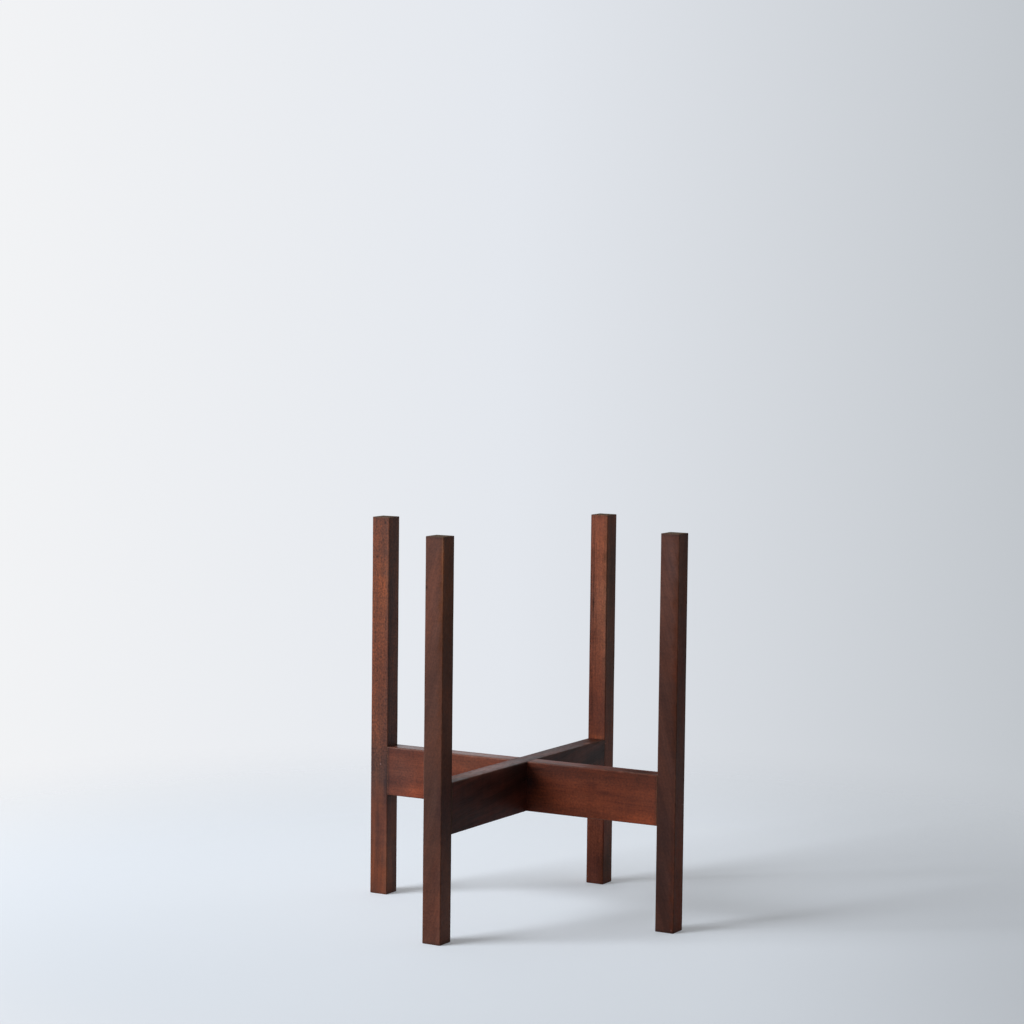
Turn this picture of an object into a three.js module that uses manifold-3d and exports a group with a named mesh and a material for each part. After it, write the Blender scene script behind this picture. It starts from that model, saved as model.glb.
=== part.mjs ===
// A single plant stand: four square wooden legs standing at the ends of two rails that cross
// on edge in a halving joint. The pot stands on the crossed rails, between the legs.
// Each rail's ends butt against the inner faces of two legs and are held by two blind dowels.
//
// Units are millimetres and +Z is up. The origin is on the floor under the crossing. The left
// and right legs stand along X and the front and back legs along Y, front being -Y.

import * as THREE from "three";
import { mergeVertices, toCreasedNormals } from "three/addons/utils/BufferGeometryUtils.js";
import Module from "manifold-3d";

// ---------------------------------------------------------------------------
// Driving dimensions
// ---------------------------------------------------------------------------

const legHeight = 390; // floor to the flat leg tops
const legSide = 20; // side of a leg's square section
const span = 350; // outer face to outer face of two opposite legs

const railThickness = 20;
const railHeight = 50; // the rails stand on edge
const railTop = 154; // floor to the level tops of both rails

const longEdgeRadius = 1.2; // sanded edges along the grain
const endEdgeEasing = 0.8; // sanded edges round a leg's end grain

const dowelDiameter = 8;
const dowelLength = 35;
const dowelInLeg = 13; // the part of a dowel's length that is in the leg
const dowelPitch = 26; // between the two dowels of one joint
const dowelChamfer = 1;
const fluteCount = 8;
const fluteWidth = 1;
const fluteDepth = 0.35;

// Clearances
const holeClearance = 0.3; // all round a dowel, filled with glue
const holeEndRoom = 0.5; // past each end of a dowel
const notchClearance = 0.3; // on each side of a rail in the other rail's notch

// Fineness of the curved surfaces
const edgeSteps = 3; // facets round a sanded edge
const dowelSides = 24;
const holeSides = 24;
const fluteSides = 6;
const creaseAngle = THREE.MathUtils.degToRad(40); // facets that meet at less are shaded as one curve

// ---------------------------------------------------------------------------
// Materials
// ---------------------------------------------------------------------------

const stainedWood = new THREE.MeshStandardMaterial({
  name: "stained_wood",
  color: "#7a4a36",
  roughness: 0.45,
  metalness: 0,
});

const dowelWood = new THREE.MeshStandardMaterial({
  name: "dowel_wood",
  color: "#cfa878",
  roughness: 0.8,
  metalness: 0,
});

// ---------------------------------------------------------------------------
// Solids
// ---------------------------------------------------------------------------

const wasm = await Module();
wasm.setup();

function toSolid(geometry) {
  const bare = geometry.clone();
  bare.deleteAttribute("normal");
  bare.deleteAttribute("uv");
  const merged = mergeVertices(bare);
  return new wasm.Manifold(
    new wasm.Mesh({
      numProp: 3,
      vertProperties: merged.attributes.position.array,
      triVerts: new Uint32Array(merged.index.array),
    }),
  );
}

function toGeometry(solid) {
  const mesh = solid.getMesh();
  const geometry = new THREE.BufferGeometry();
  geometry.setAttribute("position", new THREE.BufferAttribute(mesh.vertProperties, 3));
  geometry.setIndex(new THREE.BufferAttribute(mesh.triVerts, 1));
  return toCreasedNormals(geometry, creaseAngle);
}

// The blank with every cutter taken out of it.
function carve(blank, cutters) {
  let solid = toSolid(blank);
  for (const cutter of cutters) {
    solid = solid.subtract(toSolid(cutter));
  }
  return toGeometry(solid);
}

// A rectangle round the origin with its four corners rounded.
function roundedRectangle(width, height, radius) {
  const x = width / 2 - radius;
  const y = height / 2 - radius;
  const quarter = Math.PI / 2;
  const outline = new THREE.Shape();
  outline.absarc(x, y, radius, 0, quarter);
  outline.absarc(-x, y, radius, quarter, 2 * quarter);
  outline.absarc(-x, -y, radius, 2 * quarter, 3 * quarter);
  outline.absarc(x, -y, radius, 3 * quarter, 4 * quarter);
  outline.closePath();
  return outline;
}

// A round bar along +X, from the origin.
function roundBar(radius, length, sides) {
  const bar = new THREE.CylinderGeometry(radius, radius, length, sides);
  bar.rotateZ(-Math.PI / 2);
  bar.translate(length / 2, 0, 0);
  return bar;
}

// ---------------------------------------------------------------------------
// Dowel joints: the same heights serve the legs, the rails and the dowels
// ---------------------------------------------------------------------------

const railMiddle = railTop - railHeight / 2;
const legCentre = span / 2 - legSide / 2; // from the stand's centre to a leg's centre
const legInnerFace = span / 2 - legSide;
const dowels = [
  { place: "upper", height: railMiddle + dowelPitch / 2 },
  { place: "lower", height: railMiddle - dowelPitch / 2 },
];

const holeRadius = dowelDiameter / 2 + holeClearance;
const holeInLeg = dowelInLeg + holeEndRoom;
const holeInRail = dowelLength - dowelInLeg + holeEndRoom;

const cutterOverrun = 1; // how far a cutter stands out of the face that it goes in by

// ---------------------------------------------------------------------------
// Leg: stands on the origin, with its two blind dowel holes in the +X face
// ---------------------------------------------------------------------------

function legGeometry() {
  const blank = new THREE.ExtrudeGeometry(roundedRectangle(legSide, legSide, longEdgeRadius), {
    depth: legHeight - 2 * endEdgeEasing,
    curveSegments: edgeSteps,
    bevelEnabled: true,
    bevelThickness: endEdgeEasing,
    bevelSize: endEdgeEasing,
    bevelOffset: -endEdgeEasing,
    bevelSegments: edgeSteps,
  });
  blank.translate(0, 0, endEdgeEasing);

  const drills = dowels.map(({ height }) => {
    const drill = roundBar(holeRadius, holeInLeg + cutterOverrun, holeSides);
    drill.translate(legSide / 2 - holeInLeg, 0, height);
    return drill;
  });
  return carve(blank, drills);
}

// ---------------------------------------------------------------------------
// Rail: lies along X at its height over the floor, centred over the origin
// ---------------------------------------------------------------------------

const railLength = 2 * legInnerFace;

function railGeometry(notchSide) {
  const blank = new THREE.ExtrudeGeometry(
    roundedRectangle(railHeight, railThickness, longEdgeRadius),
    { depth: railLength, curveSegments: edgeSteps, bevelEnabled: false },
  );
  blank.translate(0, 0, -railLength / 2);
  blank.rotateY(Math.PI / 2);
  blank.translate(0, 0, railMiddle);

  const drills = [-1, 1].flatMap((end) =>
    dowels.map(({ height }) => {
      const drill = roundBar(holeRadius, holeInRail + cutterOverrun, holeSides);
      const tip = legInnerFace - holeInRail;
      drill.translate(end > 0 ? tip : -legInnerFace - cutterOverrun, 0, height);
      return drill;
    }),
  );
  return carve(blank, [...drills, notchCutter(notchSide)]);
}

// Half of the rail's height comes out where the other rail crosses, from above with side 1
// and from below with side -1. The notch floors of the two rails meet at the middle height.
function notchCutter(side) {
  const width = railThickness + 2 * notchClearance;
  const cutter = new THREE.BoxGeometry(width, 2 * railThickness, railHeight);
  cutter.translate(0, 0, railMiddle + (side * railHeight) / 2);
  return cutter;
}

// ---------------------------------------------------------------------------
// Dowel: a chamfered and fluted pin along +X, from the origin
// ---------------------------------------------------------------------------

function dowelGeometry() {
  const radius = dowelDiameter / 2;
  const tip = radius - dowelChamfer;
  const profile = [
    new THREE.Vector2(0, 0),
    new THREE.Vector2(tip, 0),
    new THREE.Vector2(radius, dowelChamfer),
    new THREE.Vector2(radius, dowelLength - dowelChamfer),
    new THREE.Vector2(tip, dowelLength),
    new THREE.Vector2(0, dowelLength),
  ];
  const blank = new THREE.LatheGeometry(profile, dowelSides);
  blank.rotateZ(-Math.PI / 2);

  // A flute's cutter is a thin rod whose circle reaches fluteDepth into the dowel.
  const rodRadius = ((fluteWidth / 2) ** 2 + fluteDepth ** 2) / (2 * fluteDepth);
  const rodCentre = radius + rodRadius - fluteDepth;
  const flutes = [];
  for (let i = 0; i < fluteCount; i += 1) {
    const angle = (2 * Math.PI * (i + 0.5)) / fluteCount;
    const rod = roundBar(rodRadius, dowelLength + 2 * cutterOverrun, fluteSides);
    rod.translate(-cutterOverrun, rodCentre * Math.cos(angle), rodCentre * Math.sin(angle));
    flutes.push(rod);
  }
  return carve(blank, flutes);
}

// ---------------------------------------------------------------------------
// Assembly
// ---------------------------------------------------------------------------

const stand = new THREE.Group();
stand.name = "plant_stand";

function add(parent, name, geometry, material) {
  const mesh = new THREE.Mesh(geometry, material);
  mesh.name = name;
  parent.add(mesh);
  return mesh;
}

// Each arm holds a leg and its two dowels, turned about Z to its end of a rail.
const arms = [
  { side: "left", turn: 0 },
  { side: "front", turn: Math.PI / 2 },
  { side: "right", turn: Math.PI },
  { side: "back", turn: -Math.PI / 2 },
];

const leg = legGeometry();
const dowel = dowelGeometry();

for (const { side, turn } of arms) {
  const arm = new THREE.Group();
  arm.rotation.z = turn;
  add(arm, `${side}_leg`, leg, stainedWood).position.x = -legCentre;
  for (const { place, height } of dowels) {
    const piece = add(arm, `${side}_leg_${place}_dowel`, dowel, dowelWood);
    piece.position.set(-legInnerFace - dowelInLeg, 0, height);
  }
  stand.add(arm);
}

add(stand, "left_right_rail", railGeometry(1), stainedWood);
add(stand, "front_back_rail", railGeometry(-1), stainedWood).rotation.z = Math.PI / 2;

export default stand;
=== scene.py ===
"""A single plant stand of stained wood: two rails cross in a halving joint, and four square legs
are dowelled to their ends. The CAD model is the fixed frame. Here each board is given its sanded
shape and its stained and varnished surface, and the stand is set on a pale studio floor.

Metres, +Z up, the origin on the floor under the crossing. Places on a board are in millimetres.
"""

from math import cos, e, pi, radians, sin

import bmesh
import bpy
from mathutils import Matrix, Vector, noise


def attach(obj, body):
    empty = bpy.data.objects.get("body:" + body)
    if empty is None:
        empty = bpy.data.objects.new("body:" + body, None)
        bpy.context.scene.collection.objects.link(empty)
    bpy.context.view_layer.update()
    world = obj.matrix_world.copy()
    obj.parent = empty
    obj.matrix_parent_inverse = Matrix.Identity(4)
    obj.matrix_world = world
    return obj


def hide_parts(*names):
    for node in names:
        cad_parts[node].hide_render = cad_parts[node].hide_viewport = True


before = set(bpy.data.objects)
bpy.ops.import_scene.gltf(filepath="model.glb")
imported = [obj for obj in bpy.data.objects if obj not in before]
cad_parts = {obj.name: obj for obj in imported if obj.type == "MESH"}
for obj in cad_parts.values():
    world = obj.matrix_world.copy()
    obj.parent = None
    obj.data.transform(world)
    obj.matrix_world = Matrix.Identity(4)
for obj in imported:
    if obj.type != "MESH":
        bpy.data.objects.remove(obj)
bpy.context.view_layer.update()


# --- Camera -------------------------------------------------------------------------------------
# A long lens a little above the leg tops, looking at the stand corner on, with the stand low and
# right of the middle of the picture.

camera_place = (1.3588, -2.4035, 0.6148)
camera_azimuth = radians(29.778)  # from straight in front, round to the right
camera_dip = radians(4.400)
camera_roll = radians(0.645)

camera_data = bpy.data.cameras.new("camera")
camera_data.sensor_width = 36
camera_data.lens = 97.81
camera = bpy.data.objects.new("camera", camera_data)
camera.matrix_world = (
    Matrix.Translation(camera_place)
    @ Matrix.Rotation(camera_azimuth, 4, "Z")
    @ Matrix.Rotation(pi / 2 - camera_dip, 4, "X")
    @ Matrix.Rotation(camera_roll, 4, "Z")
)
bpy.context.scene.collection.objects.link(camera)
bpy.context.scene.camera = camera
bpy.context.scene.view_settings.view_transform = "Standard"


# --- Crossed rails ------------------------------------------------------------------------------
# Two boards of fine-pored red-brown wood standing on edge, planed square, with hand-sanded
# arrises. They cross in a halving joint: the left-right rail is notched from above and the
# front-back rail from below. Each end is square, and bored for two dowels.

MM = 0.001  # boards are worked out in millimetres

rail_length = 310
rail_thickness = 20
rail_height = 50
rail_top = 154  # over the floor
rail_middle = rail_top - rail_height / 2
rail_arris = 0.95
notch_play = 0.1  # the halving joint is a tight fit

dowel_pitch = 26  # between the two dowels of one joint
dowel_heights = (rail_middle + dowel_pitch / 2, rail_middle - dowel_pitch / 2)
dowel_hole_radius = 4.3
dowel_hole_in_rail = 22.5
hole_sides = 32
cutter_overrun = 1  # how far a cutter stands out of the face that it goes in by

ring_step = 3.0  # along a board, between the outlines that its skin is made of
arc_steps = 4  # facets round a sanded arris
support = 0.4  # from an arris to the line that holds the face beside it flat
arris_change = 0.3  # the share of its radius by which a hand-sanded arris varies
arris_wave = 38  # and the length over which it does
hollow_depth = 0.03  # a face is this much lower along its middle
hollow_wave = 70
sanding_loss = 0.02  # off each face
loss_wave = 90
crisp_angle = radians(35)  # facets that meet at more are shaded with an edge between them


def ripple(seed, place, length):
    """A smooth random wave along a board, from about -1 to 1."""
    return noise.noise(Vector((place / length, seed * 7.31, seed * 3.17)))


def section(half_width, half_height, radii, bows):
    """The outline of a board: an arris at each corner, and a face with a slight hollow after it."""
    corners = ((1, 1), (-1, 1), (-1, -1), (1, -1))
    arcs = []
    for corner, (side_x, side_y) in enumerate(corners):
        radius = radii[corner]
        middle = Vector((side_x * (half_width - radius), side_y * (half_height - radius)))
        arc = []
        for step in range(arc_steps + 1):
            angle = (corner + step / arc_steps) * pi / 2
            arc.append(middle + Vector((cos(angle), sin(angle))) * radius)
        arcs.append(arc)

    outline = []
    for corner in range(4):
        outline.extend(arcs[corner])
        start = arcs[corner][-1]
        end = arcs[(corner + 1) % 4][0]
        free = end - start
        step = free.normalized() * support
        inward = Vector((-free.y, free.x)).normalized()
        outline.append(start + step)
        for share in (0.25, 0.5, 0.75):
            outline.append(start + free * share + inward * bows[corner] * sin(pi * share))
        outline.append(end - step)
    return outline


def sanded_board(name, width, height, length, place, seed, arris, end_easing=0.0):
    """A board along its own +Z, moved to its place in the stand.

    arris is the usual radius of its long edges, and end_easing that of the edges round its ends.
    """
    along = []
    if end_easing:
        along.append((0.0, end_easing + support))
        for step in range(arc_steps + 1):
            angle = step / arc_steps * pi / 2
            along.append((end_easing * (1 - cos(angle)), end_easing * (1 - sin(angle))))
    else:
        along.append((0.0, 0.0))
    start = along[-1][0] + support
    count = round((length - 2 * start) / ring_step)
    middle = [start + (length - 2 * start) * i / count for i in range(count + 1)]
    far_end = [(length - distance, inset) for distance, inset in reversed(along)]
    rings = along + [(distance, 0.0) for distance in middle] + far_end

    mesh = bmesh.new()
    skin = []
    for distance, inset in rings:
        radii = []
        for corner in range(4):
            radii.append(arris * (1 + arris_change * ripple(seed + corner, distance, arris_wave)))
        bows = []
        for side in range(4):
            bows.append(hollow_depth * (1 + ripple(seed + 5 + side, distance, hollow_wave)))
        thinner = sanding_loss * (1 + ripple(seed + 9, distance, loss_wave))
        half_width = width / 2 - thinner - inset
        half_height = height / 2 - thinner - inset
        outline = section(half_width, half_height, radii, bows)
        skin.append([mesh.verts.new((p.x, p.y, distance)) for p in outline])
    size = len(skin[0])
    for lower, upper in zip(skin, skin[1:]):
        for i in range(size):
            after = (i + 1) % size
            mesh.faces.new((lower[i], lower[after], upper[after], upper[i]))
    mesh.faces.new(list(reversed(skin[0])))
    mesh.faces.new(skin[-1])
    mesh.transform(Matrix.Scale(MM, 4) @ place)
    data = bpy.data.meshes.new(name)
    mesh.to_mesh(data)
    mesh.free()
    board = bpy.data.objects.new(name, data)
    bpy.context.scene.collection.objects.link(board)
    return board


def drill(centre, way, radius, length):
    """A round cutter along way, in millimetres, with its middle at centre."""
    mesh = bmesh.new()
    turn = Vector(way).to_track_quat("Z", "Y").to_matrix().to_4x4()
    bmesh.ops.create_cone(
        mesh,
        cap_ends=True,
        segments=hole_sides,
        radius1=radius,
        radius2=radius,
        depth=length,
        matrix=Matrix.Translation(centre) @ turn,
    )
    return mesh


def saw(centre, size):
    """A square cutter, in millimetres."""
    mesh = bmesh.new()
    place = Matrix.Translation(centre) @ Matrix.Diagonal((*size, 1))
    bmesh.ops.create_cube(mesh, size=1, matrix=place)
    return mesh


def cut(board, cutters):
    """Takes the cutters out of a board."""
    for mesh in cutters:
        data = bpy.data.meshes.new("cutter")
        mesh.transform(Matrix.Scale(MM, 4))
        mesh.to_mesh(data)
        mesh.free()
        tool = bpy.data.objects.new("cutter", data)
        bpy.context.scene.collection.objects.link(tool)
        taken_out = board.modifiers.new("cut", "BOOLEAN")
        taken_out.operation = "DIFFERENCE"
        taken_out.solver = "EXACT"
        taken_out.object = tool
        bpy.context.view_layer.update()
        graph = bpy.context.evaluated_depsgraph_get()
        worked = bpy.data.meshes.new_from_object(board.evaluated_get(graph))
        board.modifiers.clear()
        board.data = worked
        worked.name = board.name
        bpy.data.objects.remove(tool)
        bpy.data.meshes.remove(data)


def fair(board):
    """Smooth arrises between crisp faces."""
    board.data.polygons.foreach_set("use_smooth", [True] * len(board.data.polygons))
    board.data.set_sharp_from_angle(angle=crisp_angle)
    board.data.update()


class Socket:
    """One value in a finish. Sums on it in Python add the Math nodes that work them out."""

    def __init__(self, finish, socket):
        self.finish = finish
        self.socket = socket

    def math(self, operation, *values):
        return self.finish.node("Math", {"operation": operation}, dict(enumerate(values)))

    def __add__(self, other):
        return self.math("ADD", self, other)

    def __sub__(self, other):
        return self.math("SUBTRACT", self, other)

    def __rsub__(self, other):
        return self.math("SUBTRACT", other, self)

    def __mul__(self, other):
        return self.math("MULTIPLY", self, other)

    def __truediv__(self, other):
        return self.math("DIVIDE", self, other)

    def __rpow__(self, other):
        return self.math("POWER", other, self)

    def __neg__(self):
        return self.math("SUBTRACT", 0, self)

    def __abs__(self):
        return self.math("ABSOLUTE", self)

    __radd__ = __add__
    __rmul__ = __mul__


class Finish:
    """The node tree of a material or of the world."""

    def __init__(self, owner):
        self.owner = owner
        owner.use_nodes = True
        owner.node_tree.nodes.clear()

    def node(self, kind, settings=None, inputs=None, output=0):
        """Adds a node with its settings, then its sockets' values or links. Gives an output."""
        made = self.owner.node_tree.nodes.new("ShaderNode" + kind)
        for name, value in (settings or {}).items():
            if name == "stops":
                stops = made.color_ramp.elements
                for extra in range(len(value) - len(stops)):
                    stops.new(0.5)
                for stop, (position, shade) in zip(stops, value):
                    stop.position = position
                    stop.color = (*shade, 1)
            else:
                setattr(made, name, value)
        for name, value in (inputs or {}).items():
            if isinstance(value, Socket):
                self.owner.node_tree.links.new(value.socket, made.inputs[name])
            else:
                made.inputs[name].default_value = value
        return Socket(self, made.outputs[output]) if made.outputs else None

    def vector(self, operation, first, second, output=0):
        return self.node("VectorMath", {"operation": operation}, {0: first, 1: second}, output)

    def scaled(self, vector, factor):
        return self.node("VectorMath", {"operation": "SCALE"}, {0: vector, "Scale": factor})

    def mix(self, share, first, second):
        """first where share is 0 and second where it is 1: colours."""
        sockets = {0: share, 6: first, 7: second}
        return self.node("Mix", {"data_type": "RGBA"}, sockets, 2)

    def tinted(self, share, stain, tint):
        """stain, multiplied by tint where share is 1."""
        settings = {"data_type": "RGBA", "blend_type": "MULTIPLY"}
        return self.node("Mix", settings, {0: share, 6: stain, 7: tint}, 2)

    def moved(self, place, noise_value, distance):
        """place, pushed about by a noise."""
        push = (noise_value - 0.5) * distance
        shift = self.node("CombineXYZ", inputs={0: push, 1: push, 2: push})
        return self.vector("ADD", place, shift)

    def between(self, value, low, high):
        """0 below low, 1 above high and a smooth rise between."""
        settings = {"interpolation_type": "SMOOTHSTEP"}
        return self.node("MapRange", settings, {0: value, 1: low, 2: high, 3: 0.0, 4: 1.0})

    def grain(self, place, across, along, seed, detail=2.0, roughness=0.5):
        """Noise drawn out along a board; across and along are its cycles in a millimetre."""
        stretched = self.vector("MULTIPLY", place, (across, across, along))
        sockets = {"Vector": stretched, "W": seed, "Scale": 1.0}
        sockets.update({"Detail": detail, "Roughness": roughness})
        return self.node("TexNoise", {"noise_dimensions": "4D"}, sockets)

    def shown(self):
        """1 for the rays that show a thing to the camera, in a reflection or through glass."""
        kinds = ("Camera", "Glossy", "Transmission")
        rays = [self.node("LightPath", output=f"Is {kind} Ray") for kind in kinds]
        return self.node("Clamp", inputs={0: rays[0] + rays[1] + rays[2]})


def colour(red, green, blue):
    return (red, green, blue, 1.0)


red_wood = colour(1.06, 0.96, 0.88)  # the tint of redder places in the wood
gold_speckle = colour(1.08, 0.98, 0.82)  # the tint of its palest specks
gathered_stain = colour(0.72, 0.80, 0.86)  # the tint where stain gathers beside an end
sawn_end = colour(0.110, 0.072, 0.046)
end_facing = (0.75, 0.95)  # how squarely end grain looks along the board
rubbed_wood = colour(0.21, 0.105, 0.062)
grain_relief = 0.04 * MM
varnish_roughness = 0.44
raw_roughness = 0.9
raw_gloss = 0.06

# where these begin and end, in mm from the nearest end or long edge
gathered_stain_span = (0.5, 4.0)
rubbed_end_span = (0.1, 0.9)
rubbed_arris_span = (0.25, 1.0)

neat_reach = 3  # a mark with less reach than this has a neat outline
ragged = 9.0  # how far the outline of any other mark is pushed about
mottle_change = (-0.5, -0.2)  # where the speckle changes, in half lengths from a board's middle


def stained_wood(
    name,
    axis,
    middle,
    half,
    seed,
    light,
    dark,
    figure,
    slant,
    mottle,
    vessels,
    gloss,
    worn,
    marks,
    open_grain=(),
):
    """Red-brown stain under a thin satin varnish, on fine-pored wood.

    axis is the way of the grain, 0 to 2 for X to Z. middle and half are the board's middle and
    half sizes in mm. light and dark are the two tones of the stain. figure is how strong the broad
    pattern is, and slant how far the grain runs out of the board's own way on each pair of faces.
    mottle is how strong the fine speckle is in the board's first quarter and in the rest of it.
    vessels is how strong the dark dashes of the pores are, and open_grain are places where they
    are stronger: (place, reach, strength). worn is how far the long edges are rubbed. marks are
    places where the stain or the gloss differs, or where shade, a sheen, a highlight or a
    reflection is painted in: (place, reach, tint, dulling).
    """
    finish = Finish(bpy.data.materials.new(name))
    point = finish.scaled(finish.node("TexCoord", output="Object"), 1 / MM)
    local = finish.vector("SUBTRACT", point, middle)
    others = [way for way in range(3) if way != axis]
    parts = [finish.node("SeparateXYZ", inputs={0: local}, output=way) for way in (*others, axis)]
    across, through, along = parts
    leaning = {0: across - along * slant[0], 1: through - along * slant[1], 2: along}
    board = finish.node("CombineXYZ", inputs=leaning)

    # how far a place is from the nearest long edge, and whether it is on end grain
    from_side = half[others[0]] - abs(across)
    from_face = half[others[1]] - abs(through)
    from_arris = from_side.math("MAXIMUM", from_side, from_face)
    from_end = half[axis] - abs(along)
    normal = finish.node("TexCoord", output="Normal")
    facing = abs(finish.node("SeparateXYZ", inputs={0: normal}, output=axis))
    end_grain = finish.between(facing, *end_facing)

    # the wood's own grain, from its sway and broad figure to its pores
    sway = finish.grain(board, 0.025, 0.005, seed + 0.5, 1.0)
    swayed = finish.moved(board, sway, 24.0)
    broad = finish.grain(swayed, 0.085, 0.009, seed + 1, 2.0, 0.45)
    streaks = finish.grain(swayed, 0.36, 0.016, seed + 2, 2.0, 0.5)
    ribbon = finish.grain(board, 0.04, 0.16, seed + 6, 1.0, 0.4)
    blotches = finish.grain(board, 0.06, 0.035, seed + 4, 2.0, 0.45)
    fibres = finish.grain(board, 0.95, 0.05, seed + 3, 2.0, 0.6)
    speckle = finish.grain(board, 0.50, 0.44, seed + 5, 3.0, 0.65)
    pores = finish.between(finish.grain(board, 1.10, 0.055, seed + 7, 1.0, 0.5), 0.50, 0.62)

    tone = (
        0.5
        + (broad - 0.5) * 1.5 * figure
        + (streaks - 0.5) * 0.6 * figure
        + (ribbon - 0.5) * 0.4 * figure
        + (blotches - 0.5) * 0.6 * figure
    )
    stain = finish.mix(finish.between(tone, -0.1, 1.1), dark, light)
    reds = finish.grain(board, 0.05, 0.02, seed + 8, 2.0, 0.5)
    stain = finish.tinted(finish.between(reds, 0.35, 0.65), stain, red_wood)

    # places where the stain or the gloss differs, or where shade, a sheen, a highlight or a
    # reflection is painted in, with a ragged outline unless they are small
    wander = finish.grain(board, 0.16, 0.10, seed + 9, 2.0, 0.5)
    wandered = finish.moved(point, wander, ragged)
    dulling = 0.0
    for place, reach, tint, dull in marks:
        source = point if min(reach) < neat_reach else wandered
        offset = finish.vector("DIVIDE", finish.vector("SUBTRACT", source, place), reach)
        near = e ** -finish.vector("DOT_PRODUCT", offset, offset, 1)
        stain = finish.tinted(near, stain, colour(*tint))
        if dull:
            dulling = near * dull + dulling
    further = finish.between(along / half[axis], *mottle_change)
    speckled = mottle[0] + (mottle[1] - mottle[0]) * further
    fine = 1.0 + ((fibres - 0.5) * 0.5 + (speckle - 0.5) * 1.5) * speckled
    pored = vessels
    for place, reach, strength in open_grain:
        offset = finish.vector("DIVIDE", finish.vector("SUBTRACT", wandered, place), reach)
        pored = e ** -finish.vector("DOT_PRODUCT", offset, offset, 1) * strength + pored
    stain = finish.scaled(stain, fine - pores * pored)
    stain = finish.tinted(finish.between(fine, 0.95, 1.35), stain, gold_speckle)

    # the stain gathers beside an end; sanded edges show the lighter wood again
    gathered = 1.0 - finish.between(from_end, *gathered_stain_span)
    stain = finish.tinted(gathered, stain, gathered_stain)
    stain = finish.mix(end_grain, stain, sawn_end)
    rubbed = finish.between(finish.grain(board, 0.5, 0.08, seed + 10, 3.0, 0.65), 0.42, 0.66)
    arris = 1.0 - finish.between(from_arris, *rubbed_arris_span)
    end_arris = (1.0 - finish.between(from_end, *rubbed_end_span)) * (1.0 - end_grain)
    edge = finish.node("Clamp", inputs={0: arris + end_arris})
    stain = finish.mix(edge * (0.25 + rubbed * 0.75) * worn, stain, rubbed_wood)

    roughness = varnish_roughness + (blotches - 0.5) * 0.16 + pores * 0.12
    roughness = roughness + (speckle - 0.5) * 0.10 + dulling
    relief = (fibres - 0.5) * 0.18 + (speckle - 0.5) * 0.20 + (blotches - 0.5) * 1.0 - pores * 0.30
    bump = finish.node("Bump", inputs={"Strength": 1.0, "Distance": grain_relief, "Height": relief})
    varnish = finish.node(
        "BsdfPrincipled",
        inputs={
            "Base Color": stain,
            "Roughness": roughness,
            "Specular IOR Level": gloss,
            "Normal": bump,
        },
    )
    raw = finish.node(
        "BsdfPrincipled",
        inputs={
            "Base Color": stain,
            "Roughness": raw_roughness,
            "Specular IOR Level": raw_gloss,
            "Normal": bump,
        },
    )
    surface = finish.node("MixShader", inputs={0: end_grain, 1: varnish, 2: raw})
    finish.node("OutputMaterial", inputs={"Surface": surface})
    return finish.owner


def fit(board, node, finish):
    """Finishes a board and sets it in the stand in place of its CAD node."""
    board.data.materials.append(finish)
    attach(board, "root")
    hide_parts(node)


grain_along_x = Matrix(((0, 0, 1, 0), (0, -1, 0, 0), (1, 0, 0, 0), (0, 0, 0, 1)))
grain_along_y = Matrix(((0, 1, 0, 0), (0, 0, 1, 0), (1, 0, 0, 0), (0, 0, 0, 1)))


def rail(name, turn, way, notch_from, finish, seed):
    """One crossed rail. way is the unit vector along it, and notch_from is 1 for above."""
    start = Vector(way) * -rail_length / 2 + Vector((0, 0, rail_middle))
    place = Matrix.Translation(start) @ turn
    board = sanded_board(name, rail_height, rail_thickness, rail_length, place, seed, rail_arris)
    side = Vector((way[1], way[0], 0))
    notch = Vector(way) * (rail_thickness + notch_play) + side * 2 * rail_thickness
    notch.z = rail_height
    tools = [saw(Vector((0, 0, rail_middle + notch_from * rail_height / 2)), notch)]
    reach = dowel_hole_in_rail + cutter_overrun
    for end in (-1, 1):
        for height in dowel_heights:
            centre = Vector(way) * end * (rail_length / 2 + cutter_overrun - reach / 2)
            centre.z = height
            tools.append(drill(centre, way, dowel_hole_radius, reach))
    cut(board, tools)
    fair(board)
    fit(board, name, finish)


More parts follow.
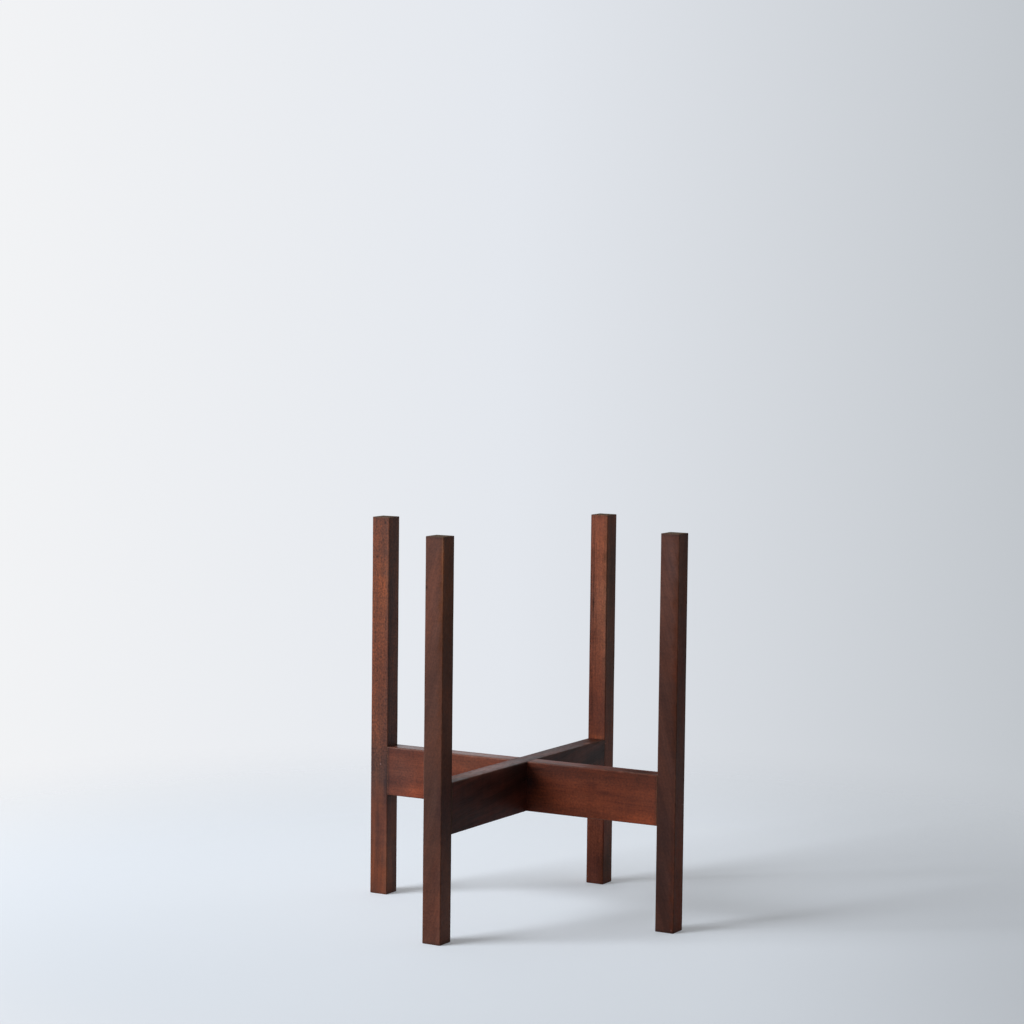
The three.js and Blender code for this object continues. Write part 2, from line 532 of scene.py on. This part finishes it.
front = -rail_thickness / 2
left_right_stain = stained_wood(
    "left_right_rail_stain",
    axis=0,
    middle=(0, 0, rail_middle),
    half=(rail_length / 2, rail_thickness / 2, rail_height / 2),
    seed=11.0,
    light=colour(0.186, 0.0445, 0.020),
    dark=colour(0.080, 0.019, 0.0105),
    figure=0.9,
    slant=(0.0, 0.0),
    mottle=(1.1, 1.1),
    vessels=0.10,
    gloss=0.15,
    worn=0.5,
    marks=(
        # front face, right of the crossing
        ((130, front, 108), (40, 8, 12), (1.42, 1.40, 1.25), 0.0),
        ((78, front, 112), (26, 8, 14), (1.36, 1.42, 1.50), 0.0),
        ((100, front, 151), (80, 8, 8), (0.68, 0.66, 0.66), 0.0),
        ((82, front, 137), (9, 8, 3), (0.60, 0.58, 0.66), 0.0),
        ((95, front, 131), (9, 8, 2.6), (0.62, 0.60, 0.68), 0.0),
        # painted shadow of the front-back rail: darkest close beside the crossing, and darker along
        # the top to its right
        ((22, front, 147.5), (8, 3, 1.6), (0.45, 0.42, 0.45), 0.0),
        ((10, front, 135), (17, 8, 14), (0.15, 0.13, 0.16), 0.1),
        ((9, front, 118), (10, 8, 30), (0.48, 0.42, 0.50), 0.1),
        ((42, front, 147), (24, 8, 9), (0.51, 0.56, 0.66), 0.0),
        ((130, front, 139), (24, 8, 13), (0.82, 0.80, 0.78), 0.0),
        # front face, left of the crossing
        ((-60, front, 146), (44, 8, 10), (0.97, 1.22, 1.40), 0.0),
        ((-134, front, 120), (14, 8, 3.5), (1.25, 1.20, 1.15), 0.0),
        ((-124, front, 110), (16, 8, 9), (1.95, 1.80, 1.52), 0.0),
        ((-140, front, 129), (22, 8, 40), (0.76, 1.04, 1.48), 0.0),
        # painted shade in a narrow band beside the joint with the left leg
        ((-154, front, 129), (3.0, 8, 40), (0.68, 0.72, 0.82), 0.0),
        # top, with a worn spot on its front arris, paler grey-blue patches of painted sheen, and
        # painted reflections of the legs that darken it near each end
        ((115, front, rail_top), (2.2, 1.5, 1.2), (2.4, 3.0, 3.6), 0.0),
        ((132, 0, rail_top), (30, 9, 3), (0.30, 0.30, 0.34), 0.45),
        ((-60, 0, rail_top), (60, 9, 3), (1.20, 1.90, 2.80), -0.24),
        ((-140, 0, rail_top), (22, 9, 3), (1.30, 1.80, 2.20), -0.22),
        ((-154, 0, rail_top), (4, 9, 3), (0.45, 0.40, 0.36), 0.10),
    ),
)
right = rail_thickness / 2
front_back_stain = stained_wood(
    "front_back_rail_stain",
    axis=1,
    middle=(0, 0, rail_middle),
    half=(rail_thickness / 2, rail_length / 2, rail_height / 2),
    seed=23.0,
    light=colour(0.070, 0.0175, 0.0118),
    dark=colour(0.019, 0.0058, 0.0044),
    figure=1.5,
    slant=(0.0, 0.11),
    mottle=(0.5, 0.5),
    vessels=0.0,
    gloss=0.10,
    worn=0.5,
    marks=(
        # right face: streaks, painted shade darkening it near the crossing, and painted light and
        # sheen making it paler and greyer towards the back
        ((right, -30, 146), (5, 36, 16), (0.30, 0.38, 0.44), 0.0),
        ((right, -128, 131), (5, 26, 6), (0.54, 0.55, 0.66), 0.0),
        ((right, -85, 142), (5, 26, 7), (0.54, 0.50, 0.52), 0.0),
        ((right, -62, 124), (5, 30, 5), (0.66, 0.58, 0.60), 0.0),
        ((right, -140, 125), (5, 22, 30), (0.90, 0.95, 0.98), 0.0),
        ((right, -70, 106), (5, 40, 7), (1.40, 1.25, 1.25), 0.0),
        ((right, 125, 140), (5, 45, 30), (1.60, 2.45, 2.75), 0.0),
        # top, with paler grey-blue patches of painted sheen, a painted reflection of the back leg
        # that makes it browner near that leg, and two worn spots towards the back
        ((0, -55, rail_top), (9, 60, 3), (2.80, 4.60, 5.40), -0.12),
        ((0, -125, rail_top), (9, 26, 3), (1.60, 1.70, 1.30), 0.0),
        ((0, 60, rail_top), (9, 34, 3), (1.60, 2.60, 3.00), 0.0),
        ((0, 125, rail_top), (9, 24, 3), (0.85, 0.70, 0.50), 0.10),
        ((0, 142, rail_top), (10, 9, 2.5), (1.20, 1.45, 1.10), 0.10),
        ((5, 124, rail_top), (2.8, 5.0, 1.5), (2.6, 3.6, 3.6), 0.0),
        ((-8.5, 147, rail_top), (2.0, 3.0, 1.5), (2.6, 3.0, 3.4), 0.0),
    ),
)
rail("left_right_rail", grain_along_x, (1, 0, 0), 1, left_right_stain, 3)
rail("front_back_rail", grain_along_y, (0, 1, 0), -1, front_back_stain, 17)


# --- Dowels -------------------------------------------------------------------------------------
# Eight fluted beech pins, two to each joint, glued blind into a leg and a rail's end. They are
# bought ready made and left bare. Their shape is the CAD model's own.

pale_beech = colour(0.68, 0.46, 0.25)
dark_beech = colour(0.52, 0.31, 0.15)
beech_fleck = colour(0.36, 0.19, 0.09)
beech_relief = 0.05 * MM


def bare_beech(name, axis):
    """Pale beech with short darker flecks along the grain."""
    finish = Finish(bpy.data.materials.new(name))
    point = finish.scaled(finish.node("TexCoord", output="Object"), 1 / MM)
    ways = (*(way for way in range(3) if way != axis), axis)
    parts = [finish.node("SeparateXYZ", inputs={0: point}, output=way) for way in ways]
    pin = finish.node("CombineXYZ", inputs=dict(enumerate(parts)))
    fibres = finish.grain(pin, 2.0, 0.09, 41.0, 3.0, 0.6)
    flecks = finish.between(finish.grain(pin, 3.5, 0.5, 42.0, 1.0, 0.5), 0.60, 0.70)
    wood = finish.mix(finish.between(fibres, 0.3, 0.7), dark_beech, pale_beech)
    wood = finish.mix(flecks * 0.5, wood, beech_fleck)
    inputs = {"Strength": 1.0, "Distance": beech_relief, "Height": fibres - flecks}
    bump = finish.node("Bump", inputs=inputs)
    bare = finish.node(
        "BsdfPrincipled",
        inputs={
            "Base Color": wood,
            "Roughness": 0.68 + (fibres - 0.5) * 0.3,
            "Specular IOR Level": 0.4,
            "Normal": bump,
        },
    )
    finish.node("OutputMaterial", inputs={"Surface": bare})
    return finish.owner


beech_along_x = bare_beech("beech_along_x", 0)
beech_along_y = bare_beech("beech_along_y", 1)
for side, beech in (
    ("left", beech_along_x),
    ("front", beech_along_y),
    ("right", beech_along_x),
    ("back", beech_along_y),
):
    for level in ("upper", "lower"):
        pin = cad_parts[f"{side}_leg_{level}_dowel"]
        for face_finish in pin.material_slots:
            face_finish.material = beech


# --- Legs ---------------------------------------------------------------------------------------
# Four square posts cut from the same stock and stained board by board, so that each has its own
# tone. Their arrises and ends are eased by sanding. Each stands outside its rail's end, bored
# blind from its inner face for two dowels.

leg_side = 20
leg_height = 390
leg_centre = (rail_length + leg_side) / 2  # from the middle of the stand: against a rail's end
leg_arris = 0.85
leg_end_easing = 0.5
dowel_hole_in_leg = 13.5
sanded_off = 0.02  # a leg's length, at its top


def leg(name, centre, finish, seed):
    """One leg; its inner face looks at the middle of the stand."""
    place = Matrix.Translation(centre)
    length = leg_height - sanded_off
    post = sanded_board(name, leg_side, leg_side, length, place, seed, leg_arris, leg_end_easing)
    inward = -Vector(centre).normalized()
    tools = []
    reach = dowel_hole_in_leg + cutter_overrun
    for height in dowel_heights:
        middle = Vector(centre) + inward * (leg_side / 2 + cutter_overrun - reach / 2)
        middle.z = height
        tools.append(drill(middle, inward, dowel_hole_radius, reach))
    cut(post, tools)
    fair(post)
    fit(post, name, finish)


def faces(x, y):
    """Where the front and right faces are of the leg with its middle at x, y."""
    return y - leg_side / 2, x + leg_side / 2


leg_half = (leg_side / 2, leg_side / 2, leg_height / 2)

front, right = faces(-leg_centre, 0)
left_stain = stained_wood(
    "left_leg_stain",
    axis=2,
    middle=(-leg_centre, 0, leg_height / 2),
    half=leg_half,
    seed=31.0,
    light=colour(0.190, 0.058, 0.029),
    dark=colour(0.080, 0.029, 0.020),
    figure=1.3,
    slant=(0.0, 0.0),
    mottle=(0.7, 2.0),
    vessels=0.0,
    gloss=0.12,
    worn=0.3,
    marks=(
        # front face, and all round at the rail's height
        ((-166, front, 322), (14, 6, 42), (1.20, 1.14, 0.96), 0.0),
        ((-167, front, 238), (10, 6, 12), (0.86, 0.90, 0.94), 0.0),
        ((-160, front, 188), (12, 6, 14), (0.84, 0.90, 0.96), 0.0),
        ((-165, 0, 129), (30, 30, 34), (0.46, 0.70, 1.06), 0.0),
        ((-175, front, 335), (3.4, 3.4, 60), (1.34, 1.30, 1.15), 0.0),
        ((-175, front, 30), (4.0, 3.4, 40), (1.18, 1.15, 1.05), 0.0),
        # painted shade in a narrow band down the joint with the left-right rail and a little below
        # it
        ((-156.5, front, 122), (2.6, 6, 32), (0.78, 0.84, 0.94), 0.0),
        ((-157, front, 111), (2.6, 6, 12), (0.72, 0.80, 0.92), 0.0),
        ((-164, front, 70), (14, 6, 24), (0.80, 0.86, 1.04), 0.0),
        ((-164, front, 24), (14, 6, 22), (1.23, 1.10, 0.96), 0.0),
        # right face, darker towards both of its arrises
        ((right, 0, 330), (4, 16, 80), (0.62, 0.86, 1.20), 0.0),
        ((right, 0, 210), (4, 16, 60), (0.84, 1.02, 1.30), 0.0),
        ((right, 0, 30), (4, 16, 60), (1.10, 1.35, 1.50), 0.0),
        ((right, -7.5, 270), (1.6, 2.4, 180), (0.58, 0.62, 0.68), 0.0),
        ((right, 10, 250), (1.6, 1.6, 160), (0.45, 0.45, 0.45), 0.0),
        # two dark pits and a pale one in the front face
        ((-159.5, front, 384.6), (1.3, 2, 1.5), (0.30, 0.32, 0.35), 0.0),
        ((-168.6, front, 349.3), (1.3, 2, 1.2), (0.30, 0.32, 0.35), 0.0),
        ((-163.1, front, 135.3), (0.6, 1, 0.6), (3.0, 4.0, 5.0), 0.0),
    ),
)
front, right = faces(0, -leg_centre)
front_stain = stained_wood(
    "front_leg_stain",
    axis=2,
    middle=(0, -leg_centre, leg_height / 2),
    half=leg_half,
    seed=47.0,
    light=colour(0.112, 0.045, 0.031),
    dark=colour(0.060, 0.026, 0.020),
    figure=0.9,
    slant=(0.25, 0.0),
    mottle=(0.75, 0.75),
    vessels=0.0,
    gloss=0.07,
    worn=0.45,
    marks=(
        # front face, and all round at the rail's height
        ((-1, front, 340), (14, 6, 48), (1.32, 1.32, 1.36), 0.0),
        ((-1, front, 225), (14, 6, 24), (0.94, 0.98, 1.02), 0.0),
        ((0, -165, 138), (30, 30, 44), (0.70, 0.80, 0.90), 0.0),
        ((0, front, 22), (14, 6, 28), (0.95, 0.86, 0.85), 0.0),
        ((-10, front, 30), (4.0, 3.4, 60), (1.20, 1.15, 1.10), 0.0),
        ((4, front, 68), (5, 6, 16), (0.80, 0.76, 0.80), 0.0),
        # right face, darker towards its back arris
        ((right, -165, 330), (4, 16, 80), (0.86, 0.62, 0.22), 0.0),
        ((right, -165, 240), (4, 16, 60), (0.98, 0.80, 0.60), 0.0),
        ((right, -165, 130), (4, 16, 30), (0.76, 0.66, 0.72), 0.0),
        ((right, -165, 25), (4, 16, 40), (1.50, 1.50, 1.50), 0.0),
        ((right, -155, 250), (2.0, 2.0, 200), (0.35, 0.35, 0.35), 0.0),
        # a painted highlight down the top of the arris between the two, and a dark pit
        ((right, front, 368), (1.5, 1.5, 30), (2.2, 2.3, 2.0), 0.0),
        ((-8.3, front, 341.4), (1.5, 2, 1.2), (0.32, 0.36, 0.40), 0.0),
    ),
)
front, right = faces(leg_centre, 0)
right_stain = stained_wood(
    "right_leg_stain",
    axis=2,
    middle=(leg_centre, 0, leg_height / 2),
    half=leg_half,
    seed=59.0,
    light=colour(0.094, 0.037, 0.027),
    dark=colour(0.048, 0.0205, 0.0165),
    figure=1.0,
    slant=(-0.30, 0.0),
    mottle=(0.65, 0.65),
    vessels=0.0,
    gloss=0.06,
    worn=0.4,
    marks=(
        # front face
        ((165, front, 345), (16, 8, 44), (1.42, 1.60, 1.72), 0.0),
        ((165, front, 70), (16, 8, 100), (0.78, 0.88, 0.98), 0.0),
        # right face
        ((right, 1, 262), (5, 6, 36), (1.15, 0.90, 0.75), 0.0),
        ((right, 0, 330), (5, 14, 80), (0.74, 0.42, 0.10), 0.0),
        ((right, 0, 230), (5, 14, 60), (0.84, 0.48, 0.16), 0.0),
        ((right, 2, 40), (5, 12, 70), (1.92, 0.86, 0.22), 0.0),
        # darker arrises, and a pale spot at the foot
        ((172.5, front, 90), (1.6, 4, 110), (0.80, 0.80, 0.80), 0.0),
        ((right, 10, 230), (2.0, 2.0, 170), (0.35, 0.35, 0.35), 0.0),
        ((172.7, front, 3), (0.7, 1, 0.7), (3.0, 4.0, 5.0), 0.0),
    ),
)
front, right = faces(0, leg_centre)
back_stain = stained_wood(
    "back_leg_stain",
    axis=2,
    middle=(0, leg_centre, leg_height / 2),
    half=leg_half,
    seed=71.0,
    light=colour(0.222, 0.068, 0.039),
    dark=colour(0.100, 0.031, 0.020),
    figure=0.9,
    slant=(0.0, 0.0),
    mottle=(1.2, 1.1),
    vessels=0.0,
    gloss=0.07,
    worn=0.15,
    marks=(
        # front face, paler just over the rail
        ((3, front, 308), (8, 6, 62), (1.46, 1.66, 1.60), 0.0),
        ((-7.5, front, 320), (3.5, 6, 90), (0.90, 1.00, 1.10), 0.0),
        ((0, front, 180), (16, 8, 34), (0.76, 0.76, 0.84), 0.0),
        ((0, front, 75), (16, 8, 20), (1.00, 1.05, 1.20), 0.0),
        ((0, front, 156), (9, 2.5, 2.2), (1.70, 1.60, 1.30), 0.0),
        ((right, 155.5, 60), (1.8, 1.8, 50), (0.60, 0.50, 0.50), 0.0),
        ((0, front, 18), (16, 8, 24), (0.58, 0.57, 0.68), 0.0),
        # right face
        ((right, 165, 330), (4, 16, 90), (0.40, 0.52, 0.44), 0.0),
        ((right, 165, 220), (4, 16, 60), (0.50, 0.66, 0.74), 0.0),
        ((right, 165, 20), (4, 16, 26), (0.40, 0.41, 0.26), 0.0),
        # long darker and paler streaks beside the arrises and along the front face
        ((-9.6, front, 300), (1.3, 2.0, 120), (0.70, 0.66, 0.66), 0.0),
        ((-5.6, front, 310), (0.8, 2.0, 110), (0.58, 0.58, 0.60), 0.0),
        ((-2.6, front, 250), (0.8, 2.0, 50), (0.72, 0.72, 0.74), 0.0),
        ((0.8, front, 350), (0.9, 2.0, 60), (0.88, 0.88, 0.90), 0.0),
        ((right, 175, 240), (2.0, 2.0, 180), (0.35, 0.35, 0.35), 0.0),
        ((8.2, front, 300), (1.0, 1.4, 90), (1.25, 1.35, 1.45), 0.0),
        ((9.9, 155.2, 290), (1.1, 1.1, 110), (0.55, 0.60, 0.66), 0.0),
        ((right, 156.5, 149.8), (1, 1.8, 0.6), (2.6, 3.0, 3.4), 0.0),
    ),
    open_grain=(
        ((-6.5, front, 325), (5, 6, 75), 0.50),
        ((-8, front, 230), (3, 6, 70), 0.38),
        ((5, front, 60), (6, 6, 40), 0.45),
    ),
)
leg("left_leg", (-leg_centre, 0, 0), left_stain, 31)
leg("front_leg", (0, -leg_centre, 0), front_stain, 47)
leg("right_leg", (leg_centre, 0, 0), right_stain, 59)
leg("back_leg", (0, leg_centre, 0), back_stain, 71)


# --- Studio floor, backdrop and light -----------------------------------------------------------
# A pale blue-white floor that runs up without a line into a backdrop of the same colour. Daylight
# comes from a large window-like source at the left, so the backdrop is brightest there and the
# shadows run softly to the right.

floor_radius = 3.0
floor_sides = 96
floor_drop = 0.00005  # keeps it clear of the legs' end grain
floor_colour = (0.76, 0.80, 0.855)
floor_bounce = colour(0.36, 0.35, 0.34)  # what it lends the stand: the studio's floor ends soon
floor_glow = (0.155, 0.165, 0.175)  # light from the whole studio, which the stand hides little of
floor_fade = (0.40, 1.10)  # from the middle of the stand: the floor passes into the backdrop
away_from_window = (0.868, 0.497, 0.0)  # level
# painted shade on the paper: its colour and glow are made darker away from the window, a little
# darker towards it, and darker towards the front
floor_level = 1.108  # the lightest that the paper gets
floor_falls = (  # the ways in which it falls off, by how much, and from where to where
    (away_from_window, 0.235, 0.12, 0.60),
    ((-0.868, -0.497, 0.0), 0.06, 0.05, 0.55),
    ((0.497, -0.868, 0.0), 0.24, -0.45, 0.75),
)

shape = bmesh.new()
bmesh.ops.create_circle(shape, cap_ends=True, segments=floor_sides, radius=floor_radius)
floor_data = bpy.data.meshes.new("floor")
shape.to_mesh(floor_data)
shape.free()
floor = bpy.data.objects.new("floor", floor_data)
floor.location.z = -floor_drop
bpy.context.scene.collection.objects.link(floor)

paper = Finish(bpy.data.materials.new("floor_paper"))
floor_point = paper.node("TexCoord", output="Object")
floor_distance = paper.vector("LENGTH", floor_point, (0, 0, 0), 1)
paper_shown = paper.shown()
floor_shade = floor_level
for way, loss, start, end in floor_falls:
    reached = paper.vector("DOT_PRODUCT", floor_point, way, 1)
    floor_shade = floor_shade - paper.between(reached, start, end) * loss
paper_tone = paper.scaled(floor_colour, floor_shade)
paper_glow = paper.scaled(floor_glow, floor_shade)
paper_shader = paper.node(
    "BsdfPrincipled",
    inputs={
        "Base Color": paper.mix(paper_shown, floor_bounce, paper_tone),
        "Roughness": 0.9,
        "Specular IOR Level": 0.2,
        "Emission Color": paper.mix(paper_shown, colour(0, 0, 0), paper_glow),
        "Emission Strength": 1.0,
    },
)
faded = paper.node(
    "MixShader",
    inputs={
        0: paper.between(floor_distance, *floor_fade),
        1: paper_shader,
        2: paper.node("BsdfTransparent"),
    },
)
paper.node("OutputMaterial", inputs={"Surface": faded})
floor.data.materials.append(paper.owner)

backdrop_tones = (  # how far round from the window a direction is, and the tone there
    (0.00, (0.95, 0.95, 0.96)),
    (0.41, (0.887, 0.896, 0.913)),
    (0.50, (0.77, 0.80, 0.85)),
    (0.59, (0.54, 0.57, 0.605)),
    (0.66, (0.48, 0.505, 0.535)),
    (1.00, (0.50, 0.52, 0.545)),
)
dim_side = (0.966, -0.259, 0.0)  # the way in which the studio is darkest
ambient_tones = (  # how far round to the dim side, and the light that comes unseen from there
    (0.00, (0.58, 0.57, 0.56)),
    (0.30, (0.50, 0.49, 0.48)),
    (0.50, (0.34, 0.33, 0.32)),
    (0.64, (0.21, 0.205, 0.20)),
    (1.00, (0.14, 0.137, 0.134)),
)
far_floor = colour(0.55, 0.54, 0.53)  # the same from below the horizon
horizon = (-0.05, 0.05)
ceiling_dimming = 0.5  # how much less comes from above
ceiling_start = (0.35, 0.80)
pale_wall_side = (0.57, 0.82, 0.0)  # a paler part of the studio, behind the stand on the right
pale_wall_span = (0.80, 1.0)
pale_wall_light = (1.2, 1.188, 1.176)  # what it adds

world = bpy.data.worlds.new("studio")
bpy.context.scene.world = world
studio = Finish(world)
direction = studio.node("TexCoord", output="Generated")
away = studio.vector("DOT_PRODUCT", direction, away_from_window, 1) * 0.5 + 0.5
seen_tone = studio.node("ValToRGB", {"stops": backdrop_tones}, {0: away})
dimward = studio.vector("DOT_PRODUCT", direction, dim_side, 1) * 0.5 + 0.5
ambient_tone = studio.node("ValToRGB", {"stops": ambient_tones}, {0: dimward})
upward = studio.node("SeparateXYZ", inputs={0: direction}, output=2)
overhead = studio.between(upward, *ceiling_start)
ambient_tone = studio.scaled(ambient_tone, 1.0 - overhead * ceiling_dimming)
wallward = studio.vector("DOT_PRODUCT", direction, pale_wall_side, 1)
from_pale_wall = studio.scaled(pale_wall_light, studio.between(wallward, *pale_wall_span))
ambient_tone = studio.vector("ADD", ambient_tone, from_pale_wall)
ambient_tone = studio.mix(studio.between(upward, *horizon), far_floor, ambient_tone)
tone = studio.mix(studio.shown(), ambient_tone, seen_tone)
studio.node(
    "OutputWorld",
    inputs={"Surface": studio.node("Background", inputs={"Color": tone, "Strength": 1.0})},
)

window_place = Vector((-1.786, -2.285, 1.55))
window_aim = Vector((0, 0, 0.15))  # the crossing of the rails
window_data = bpy.data.lights.new("window", "AREA")
window_data.shape = "RECTANGLE"
window_data.size = 1.65
window_data.size_y = 2.2
window_data.energy = 113
window_data.color = (0.96, 1.0, 1.04)
window = bpy.data.objects.new("window", window_data)
window.location = window_place
window.rotation_mode = "QUATERNION"
window.rotation_quaternion = (window_aim - window_place).to_track_quat("-Z", "Y")
window.visible_camera = False
bpy.context.scene.collection.objects.link(window)
